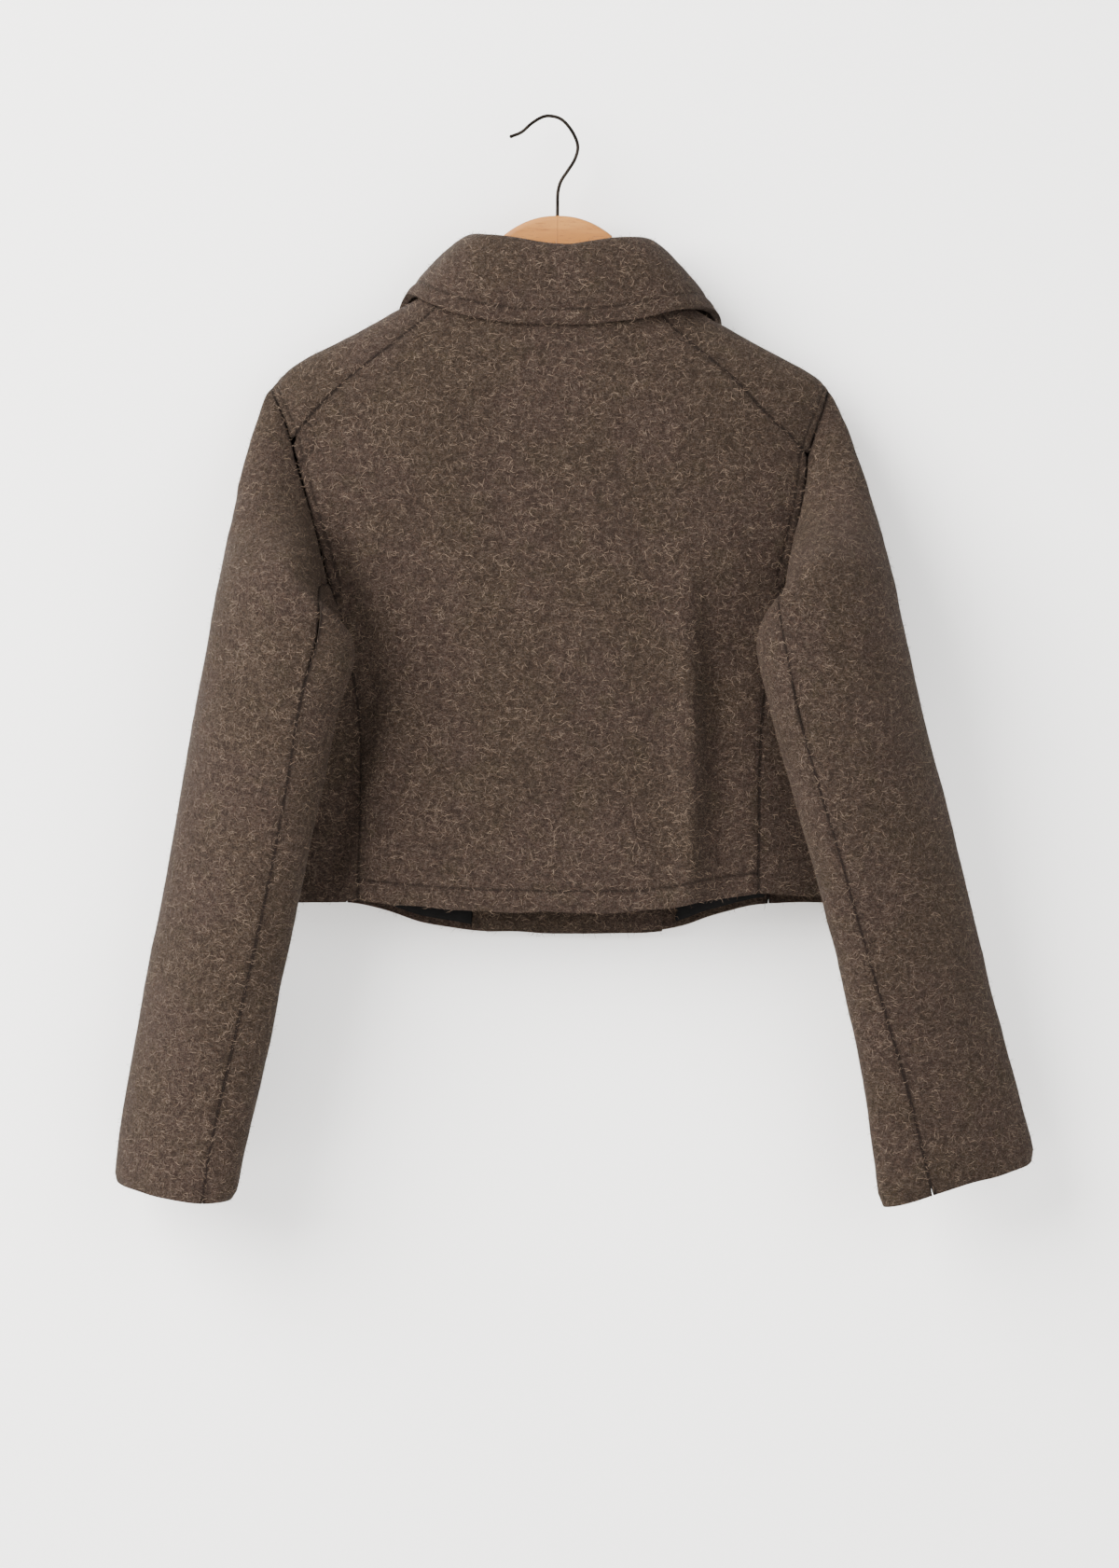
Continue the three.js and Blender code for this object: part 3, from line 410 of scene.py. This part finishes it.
def outerSkin(node, wall, side):
    # one face of a cloth solid, without its rim and its other face
    sheet = bmesh.new()
    sheet.from_mesh(nodes[node].data)
    bmesh.ops.remove_doubles(sheet, verts=sheet.verts, dist=0.001 * mm)
    slack = 0.02 * mm
    cut = [edge for edge in sheet.edges if abs(edge.calc_length() - wall) < slack]
    rim = {face for edge in cut for face in edge.link_faces}
    bmesh.ops.delete(sheet, geom=list(rim), context="FACES")
    unseen = set(sheet.faces)
    islands = []
    while unseen:
        island = [unseen.pop()]
        for face in island:
            for edge in face.edges:
                for other in edge.link_faces:
                    if other in unseen:
                        unseen.remove(other)
                        island.append(other)
        islands.append(island)

    def rank(island):
        # by area, or by depth towards the wanted side with crumbs last
        area = sum(face.calc_area() for face in island)
        depth = sum(face.calc_center_median().y for face in island) / len(island)
        crumb = area < (10 * mm) ** 2
        return area if side == 0 else side * depth - (9 if crumb else 0)

    islands.sort(key=rank)
    spare = [face for island in islands[:-1] for face in island]
    bmesh.ops.delete(sheet, geom=spare, context="FACES")
    turn = fabric["facetTurn"]
    bmesh.ops.join_triangles(sheet, faces=sheet.faces, angle_face_threshold=turn, angle_shape_threshold=turn)
    mesh = bpy.data.meshes.new(node)
    sheet.to_mesh(mesh)
    sheet.free()
    return mesh


def newPiece(name, mesh, finishes, slotName, *stoodFor):
    piece = bpy.data.objects.new(name, mesh)
    bpy.context.scene.collection.objects.link(piece)
    mesh.materials.clear()
    for finish in finishes:
        mesh.materials.append(finish)
    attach(piece, "root")
    if stoodFor:
        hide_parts(*stoodFor)
    return piece


def applied(piece, kind, **settings):
    bpy.context.view_layer.objects.active = piece
    modifier = piece.modifiers.new(kind.lower(), kind)
    for key, value in settings.items():
        setattr(modifier, key, value)
    bpy.ops.object.modifier_apply(modifier=modifier.name)


def readPoints(mesh):
    points = np.zeros(len(mesh.vertices) * 3)
    normals = np.zeros(len(mesh.vertices) * 3)
    mesh.vertices.foreach_get("co", points)
    mesh.vertices.foreach_get("normal", normals)
    return points.reshape(-1, 3), normals.reshape(-1, 3)


def borderOf(mesh):
    ends = np.zeros(len(mesh.edges) * 2, np.int64)
    mesh.edges.foreach_get("vertices", ends)
    users = np.zeros(len(mesh.loops), np.int64)
    mesh.loops.foreach_get("edge_index", users)
    single = np.bincount(users, minlength=len(mesh.edges)) == 1
    return np.unique(ends.reshape(-1, 2)[single])


def treeOf(marks):
    tree = kdtree.KDTree(len(marks))
    for index, mark in enumerate(marks):
        tree.insert(mark, index)
    tree.balance()
    return tree


def nearest(points, marks):
    # distance to the nearest mark and which one it is
    if len(marks) == 0:
        return np.full(len(points), fabric["nowhere"]), np.zeros(len(points), int)
    tree = treeOf(marks)
    found = [tree.find(point)[1:] for point in points]
    return np.array([row[1] for row in found]), np.array([row[0] for row in found])


def creaseLift(points, normals, rows):
    # soft ridges and troughs: ends, bow, width and height in mm, and the side of the cloth
    lift = np.zeros(len(points))
    overrun, easing = 0.15, 0.55    # shares of its length that a crease runs past its ends, and takes to rise
    for x1, z1, x2, z2, bow, width, height, side in rows:
        start, end = np.array([x1, z1]) * mm, np.array([x2, z2]) * mm
        along = end - start
        length = np.hypot(*along)
        along = along / length
        offset = points[:, [0, 2]] - start
        share = offset @ along / length
        across = offset @ np.array([-along[1], along[0]]) - bow * mm * 4 * share * (1 - share)
        fade = np.clip(np.minimum(share + overrun, 1 + overrun - share) / easing, 0, 1)
        fade = fade * fade * (3 - 2 * fade)
        facing = np.clip(normals[:, 1] * side * 1.6 + 0.2, 0, 1)
        lift += height * mm * np.exp(-((across / (width * mm)) ** 2)) * fade * facing
    return lift


class Cut:
    # A cut piece of cloth: its skin, and which stretches of its border are sewn to what.
    # side picks the skin (0 the larger, 1 the front, -1 the back) and rows are stitched that
    # many mm inside the borders sewn to a neighbour, "" being the free ones. Pushes are x, z,
    # reach, right and up in mm.
    def __init__(self, node, finish, wall, layer="shell", slotName="wool", side=0, rows=(), creases=(),
                 pushes=(), puff=0.0, thick=None, stirring=1.0, rim=0.45, edgeRoll=1.0):
        self.node, self.layer, self.slotName = node, layer, slotName
        self.rows, self.creases, self.pushes = rows, creases, pushes
        self.stirring, self.edgeRoll = stirring, edgeRoll
        self.puff, self.rim, self.thick = puff * mm, rim * mm, (thick or wall) * mm
        mesh = outerSkin(node, wall * mm, side)
        self.piece = newPiece(node + "_cloth", mesh, [finish], slotName, node)
        smooth = dict(levels=fabric["levels"], render_levels=fabric["levels"])
        applied(self.piece, "SUBSURF", boundary_smooth="PRESERVE_CORNERS", **smooth)
        self.points, self.normals = readPoints(self.piece.data)
        self.border = borderOf(self.piece.data)
        self.partner = np.array([""] * len(self.border), object)

    def sew(self, others):
        # borders that meet are brought together, and each is marked with what it is sewn to
        self.shift = np.zeros((len(self.border), 3))
        marks = np.concatenate([other.points[other.border] for other in others])
        names = [other.node for other in others for _ in other.border]
        tree = treeOf(marks)
        for index, place in enumerate(self.points[self.border]):
            (first, at, gap), (second, *_) = tree.find_n(place, 2)
            if gap > fabric["seamReach"]:
                continue
            along = second - first
            if along.length > 0.1 * mm:
                along.normalize()
                slide = (Vector(place) - first).dot(along)
                first = first + along * max(-fabric["seamSlide"], min(fabric["seamSlide"], slide))
            self.partner[index] = names[at]
            self.shift[index] = (np.array(first) - place) / 2

    def shape(self):
        mesh, points, normals = self.piece.data, self.points, self.normals
        inward = -1 if self.layer == "inside" else 1
        border = points[self.border]
        gap, which = nearest(points, border)
        if self.layer == "shell":
            points = points + self.shift[which] * np.exp(-((gap / fabric["seamDraw"]) ** 2))[:, None]
            border = points[self.border]
        sewn = self.partner != ""
        seam, free = nearest(points, border[sewn])[0], nearest(points, border[~sewn])[0]
        stitch = np.full(len(points), fabric["nowhere"])
        for name, offset in self.rows:
            near = np.array([
                partner.startswith(name) if name else partner == "" for partner in self.partner])
            row = nearest(points, border[near])[0] - offset * mm
            stitch = np.where(np.abs(row) < np.abs(stitch), row, stitch)
        for attributeName, values in (("seam", seam), ("stitch", stitch)):
            attribute = mesh.attributes.new(attributeName, "FLOAT", "POINT")
            attribute.data.foreach_set("value", values.astype(np.float32))
        lift = np.full(len(points), self.puff)
        for key in ("wave", "ripple", "lump"):
            size, height = fabric[key]
            lift += softNoise(points, size, len(key)) * height * self.stirring * inward
        size, height = fabric["pucker"]
        lift += softNoise(points, size, 40) * height * np.exp(-seam / fabric["puckerReach"])
        rolls = ((seam, "seamRoll", 1.0), (free, "edgeRoll", self.edgeRoll), (stitch, "groove", 1.0))
        for rolled, key, strength in rolls:
            size, height = fabric[key]
            lift -= height * strength * np.exp(-((rolled / size) ** 2))
        lift += creaseLift(points, normals, self.creases)
        size, height = fabric["wander"]
        stray = np.stack([softNoise(points, size, 50 + axis) for axis in (0, 1)], axis=1)
        stray *= (height * self.stirring * np.exp(-((free / fabric["wanderReach"]) ** 2)))[:, None]
        points = points + normals * lift[:, None]
        points[:, [0, 2]] += stray
        for x, z, reach, right, up in self.pushes:
            away = np.hypot(points[:, 0] - x * mm, points[:, 2] - z * mm)
            share = np.exp(-((away / (reach * mm)) ** 2))
            points[:, [0, 2]] += share[:, None] * np.array([right, up]) * mm
        mesh.vertices.foreach_set("co", points.ravel())
        mesh.update()
        nap(self)
        applied(self.piece, "SOLIDIFY", thickness=self.thick, offset=-1.0, use_even_offset=False)
        rim = min(self.rim, self.thick * 0.42)
        bevel = dict(width=rim, segments=fabric["rimSteps"])
        applied(self.piece, "BEVEL", limit_method="ANGLE", angle_limit=fabric["rimTurn"], **bevel)
        self.piece.data.shade_smooth()


hairs = {
    "perArea": 96000 if full else 12000,     # fibres a square metre
    "length": (2.5 * mm, 7.0 * mm),
    "width": 0.2 * mm,
    "rise": (0.2 * mm, 3.0 * mm),
    "curl": 1.3 * mm,
    "lie": (1.0, 1.0, 0.6),                  # more fibres lie across than up
    "tones": (0.42, 0.85),                    # shares where pale turns to brown and brown to dark
}
chance = np.random.default_rng(41)


def nap(cut):
    # loose curly fibres that lie on the brushed face
    mesh = cut.piece.data
    if cut.slotName != "wool":
        cut.hair = None
        return
    mesh.calc_loop_triangles()
    corners = np.zeros(len(mesh.loop_triangles) * 3, np.int64)
    mesh.loop_triangles.foreach_get("vertices", corners)
    corners = corners.reshape(-1, 3)
    points, normals = readPoints(mesh)
    first, second, third = (points[corners[:, index]] for index in range(3))
    areas = np.linalg.norm(np.cross(second - first, third - first), axis=1) / 2
    count = int(areas.sum() * hairs["perArea"])
    picked = chance.choice(len(areas), count, p=areas / areas.sum())
    weight = chance.dirichlet((1, 1, 1), count)
    root = (points[corners[picked]] * weight[:, :, None]).sum(1)
    up = (normals[corners[picked]] * weight[:, :, None]).sum(1)
    up /= np.linalg.norm(up, axis=1)[:, None]
    lean = chance.normal(size=(count, 3)) * np.array(hairs["lie"])
    lean -= up * (lean * up).sum(1)[:, None]
    lean /= np.linalg.norm(lean, axis=1)[:, None]
    side = np.cross(up, lean)
    length = chance.uniform(*hairs["length"], count)[:, None]
    rise = (hairs["rise"][0] + (hairs["rise"][1] - hairs["rise"][0]) * chance.random(count) ** 3)[:, None]
    curl = chance.normal(0, hairs["curl"], count)[:, None]
    width = side * hairs["width"] * chance.uniform(0.6, 1.2, count)[:, None] / 2
    middle = root + lean * length * 0.5 + side * curl + up * rise * 0.8
    tip = root + lean * length + up * rise
    strip = np.stack([root - width, root + width, middle + width, middle - width, tip], axis=1).reshape(-1, 3)
    start = np.arange(count) * 5
    quads = start[:, None] + np.array([0, 1, 2, 3])
    ends = start[:, None] + np.array([3, 2, 4])
    fuzz = bpy.data.meshes.new(cut.node + "_nap")
    fuzz.from_pydata(strip.tolist(), [], quads.tolist() + ends.tolist())
    tone = np.digitize(chance.random(count), hairs["tones"])
    cut.hair = newPiece(cut.node + "_nap", fuzz, hairTones, cut.slotName)
    fuzz.polygons.foreach_set("material_index", np.concatenate([tone, tone]).astype(np.int32))


# creases: x and z of both ends, bow, width and height in mm, and the side that shows them
underSleeve = [(-160, -300, -133, -420, -3, 13, -14.0, -1), (-134, -400, -168, -600, 0, 17, -13.0, -1)]
drape = [(104, -330, 106, -600, 3, 10, 6.0, -1), (122, -340, 129, -600, 3, 15, -6.0, -1),
         (105, -500, 106, -610, 0, 6, 2.0, -1), (84, -420, 88, -600, 0, 22, -1.6, -1)]
leftElbow = [(-150, -398, 32, 8, 0)]
rightCuff = [(256, -812, 42, 0, -8), (372, -786, 9, -4, 2.5)]
body = dict(finish=bodyWool, wall=3.0)
frontPanel = dict(body, side=1, rows=[("", 11), ("sleeve", 6)])
leftSleeve = dict(finish=leftWool, wall=3.0, edgeRoll=2.2, pushes=leftElbow)
rightSleeve = dict(finish=rightWool, wall=3.0, edgeRoll=2.2, pushes=rightCuff)
lapel = dict(finish=collarWool, wall=3.0, layer="lapel", side=1, rows=[("", 11)])
facing = dict(finish=innerWool, wall=2.5, layer="inside", side=-1)
lining = dict(finish=liningSatin, wall=1.0, layer="inside", slotName="lining_black", side=-1)
coat = {
    "back": dict(body, rows=[("", 16), ("sleeve", 6)], creases=[
        *drape, *underSleeve,
        (-150, -300, -120, -430, 10, 18, -1.8, -1), (-60, -180, -140, -330, -8, 26, 1.2, -1),
        (165, -300, 150, -420, -8, 16, -1.6, -1), (-20, -400, -30, -590, 5, 30, 1.1, -1),
        (-100, -440, -112, -590, 4, 22, 1.4, -1)]),
    "front_left": dict(frontPanel, creases=[
        (-90, -260, -120, -440, 8, 20, 2.0, 1), (-120, -420, -130, -600, 5, 18, 2.2, 1),
        (-40, -500, -60, -610, 0, 24, 1.2, 1)]),
    "front_right": dict(frontPanel, creases=[
        (100, -250, 130, -430, -8, 20, 2.0, 1), (140, -420, 150, -600, -4, 18, 2.2, 1)]),
    "side_left": dict(body, creases=underSleeve),
    "side_right": body,
    "sleeve_top_left": dict(leftSleeve, creases=[
        (-214, -390, -250, -420, 3, 16, -2.6, -1), (-225, -440, -270, -470, 4, 20, 2.0, -1),
        (-235, -560, -280, -590, 3, 22, -1.8, -1), (-250, -640, -290, -700, 6, 24, 1.6, -1)]),
    "sleeve_top_right": dict(rightSleeve, creases=[
        (205, -390, 250, -425, -3, 16, -2.4, -1), (215, -450, 280, -480, -4, 22, 2.0, -1),
        (240, -560, 300, -600, -3, 22, -1.8, -1)]),
    "sleeve_under_left": dict(leftSleeve, creases=[(-184, -330, -162, -450, 3, 15, 4.0, -1)]),
    "sleeve_under_right": dict(rightSleeve, creases=[(190, -420, 176, -470, 2, 14, 1.6, -1)]),
    "collar": dict(finish=collarWool, wall=2.4, layer="collar", thick=5.0, puff=1.5, stirring=0.8, rim=2.1,
                   rows=[("", 11.5)]),
    "lapel_left": lapel,
    "lapel_right": lapel,
    "facing_left": facing,
    "facing_right": facing,
    "lining_left": lining,
    "lining_right": lining,
}
cuts = [Cut(node, **sizes) for node, sizes in coat.items()]
for cut in cuts:
    if cut.layer == "shell":
        cut.sew([other for other in cuts if other.layer == "shell" and other is not cut])
triangles = 0
for cut in cuts:
    cut.shape()
    for made in (cut.piece, cut.hair):
        triangles += sum(len(face.vertices) - 2 for face in made.data.polygons) if made else 0
print("cloth laid,", triangles, "triangles")


for node, finish in (("hanger_wood", beech), ("hanger_hook", steel)):
    nodes[node].data.materials.clear()
    nodes[node].data.materials.append(finish)

button = {
    "radius": 14.0 * mm,
    "depth": 3.4 * mm,
    "border": 2.6 * mm,
    "dish": 0.9 * mm,
    "holes": ((-2.3, -2.3), (2.3, -2.3), (2.3, 2.3), (-2.3, 2.3)),
    "hole": 0.95 * mm,
    "lip": 0.6 * mm,
    "drillLength": 8 * mm,
    "edge": 0.4 * mm,
    "thread": 0.55 * mm,
    "threadSink": 1.2 * mm,
    "threadRise": 0.2 * mm,
    "turn": 17,                   # degrees from one button to the next
}


def selectTop(piece):
    # the face that looks out of the button
    bpy.ops.mesh.select_mode(type="FACE")
    bpy.ops.mesh.select_all(action="DESELECT")
    sheet = bmesh.from_edit_mesh(piece.data)
    top = max(sheet.faces, key=lambda face: face.normal.z * face.calc_area())
    top.select = True
    bmesh.update_edit_mesh(piece.data)


def joined(parts, name):
    bpy.ops.object.select_all(action="DESELECT")
    for part in parts:
        part.select_set(True)
    bpy.context.view_layer.objects.active = parts[0]
    bpy.ops.object.join()
    parts[0].name = name
    return parts[0]


def turnedButton():
    bpy.ops.object.select_all(action="DESELECT")
    bpy.ops.mesh.primitive_cylinder_add(vertices=64, radius=button["radius"], depth=button["depth"])
    disc = bpy.context.object
    bpy.ops.object.mode_set(mode="EDIT")
    selectTop(disc)
    bpy.ops.mesh.inset(thickness=button["border"])
    bpy.ops.transform.translate(value=(0, 0, -button["dish"]))
    bpy.ops.mesh.inset(thickness=button["lip"])
    bpy.ops.object.mode_set(mode="OBJECT")
    drills = []
    for x, y in button["holes"]:
        bpy.ops.mesh.primitive_cylinder_add(
            vertices=20, radius=button["hole"], depth=button["drillLength"], location=(x * mm, y * mm, 0))
        drills.append(bpy.context.object)
    drill = joined(drills, "drill")
    applied(disc, "BOOLEAN", object=drill, operation="DIFFERENCE", solver="EXACT")
    bpy.data.objects.remove(drill)
    sharp = math.radians(35)
    applied(disc, "BEVEL", width=button["edge"], segments=3, limit_method="ANGLE", angle_limit=sharp)
    disc.data.shade_smooth()
    return disc


def buttonThread():
    # two crossed stitches over the holes
    stitches = []
    reachOut = math.dist(button["holes"][0], button["holes"][2]) * mm
    for turn in (45, -45):
        lying = (0, math.radians(90), math.radians(turn))
        bpy.ops.mesh.primitive_cylinder_add(
            vertices=12, radius=button["thread"], depth=reachOut, rotation=lying)
        stitches.append(bpy.context.object)
        bpy.ops.object.transform_apply(location=True, rotation=True, scale=True)
        bpy.ops.object.mode_set(mode="EDIT")
        bpy.ops.mesh.select_all(action="SELECT")
        bpy.ops.mesh.subdivide(number_cuts=2)
        bpy.ops.object.mode_set(mode="OBJECT")
        for corner in stitches[-1].data.vertices:
            share = min(1.0, math.hypot(corner.co.x, corner.co.y) / (reachOut / 2))
            floor = button["depth"] / 2 - button["dish"]
            corner.co.z += floor - button["threadSink"] * share ** 4 + button["threadRise"]
    thread = joined(stitches, "thread")
    thread.data.shade_smooth()
    return thread


disc, thread = turnedButton(), buttonThread()
front = Matrix.Rotation(math.radians(-90), 4, "X")
for number in range(1, 7):
    node = f"button_{number}"
    low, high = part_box(node)
    middle = (low + high) / 2
    spin = Matrix.Rotation(math.radians(button["turn"] * number), 4, "Y")
    place = Matrix.Translation((middle.x, high.y - button["depth"] / 2, middle.z)) @ spin @ front
    for pattern, finish in ((disc, horn), (thread, threadCotton)):
        mesh = pattern.data.copy()
        mesh.transform(place)
        name = node + ("_disc" if pattern is disc else "_thread")
        newPiece(name, mesh, [finish], "button_horn", *([node] if pattern is disc else []))
bpy.data.objects.remove(disc)
bpy.data.objects.remove(thread)
print("buttons sewn on")


def roomSheet(name, corners, finish):
    mesh = bpy.data.meshes.new(name)
    mesh.from_pydata(corners, [], [(0, 1, 2, 3)])
    sheet = bpy.data.objects.new(name, mesh)
    bpy.context.scene.collection.objects.link(sheet)
    mesh.materials.append(finish)
    return sheet


reach, depth, ground = room["reach"], room["wallDepth"], room["floorHeight"]
wallPaint = paintFinish("wall paint", room["wallColour"], True)
floorPaint = paintFinish("floor paint", room["floorColour"], False)
ends = [(-reach, ground), (reach, ground), (reach, reach), (-reach, reach)]
sides = [(-reach, -reach), (reach, -reach), (reach, reach), (-reach, reach)]
wall = roomSheet("wall", [(x, depth, z) for x, z in ends], wallPaint)
wall.visible_shadow = False
wall.visible_diffuse = False
roomSheet("floor", [(x, y, ground) for x, y in sides], floorPaint)
print("room set")

bpy.context.view_layer.update()
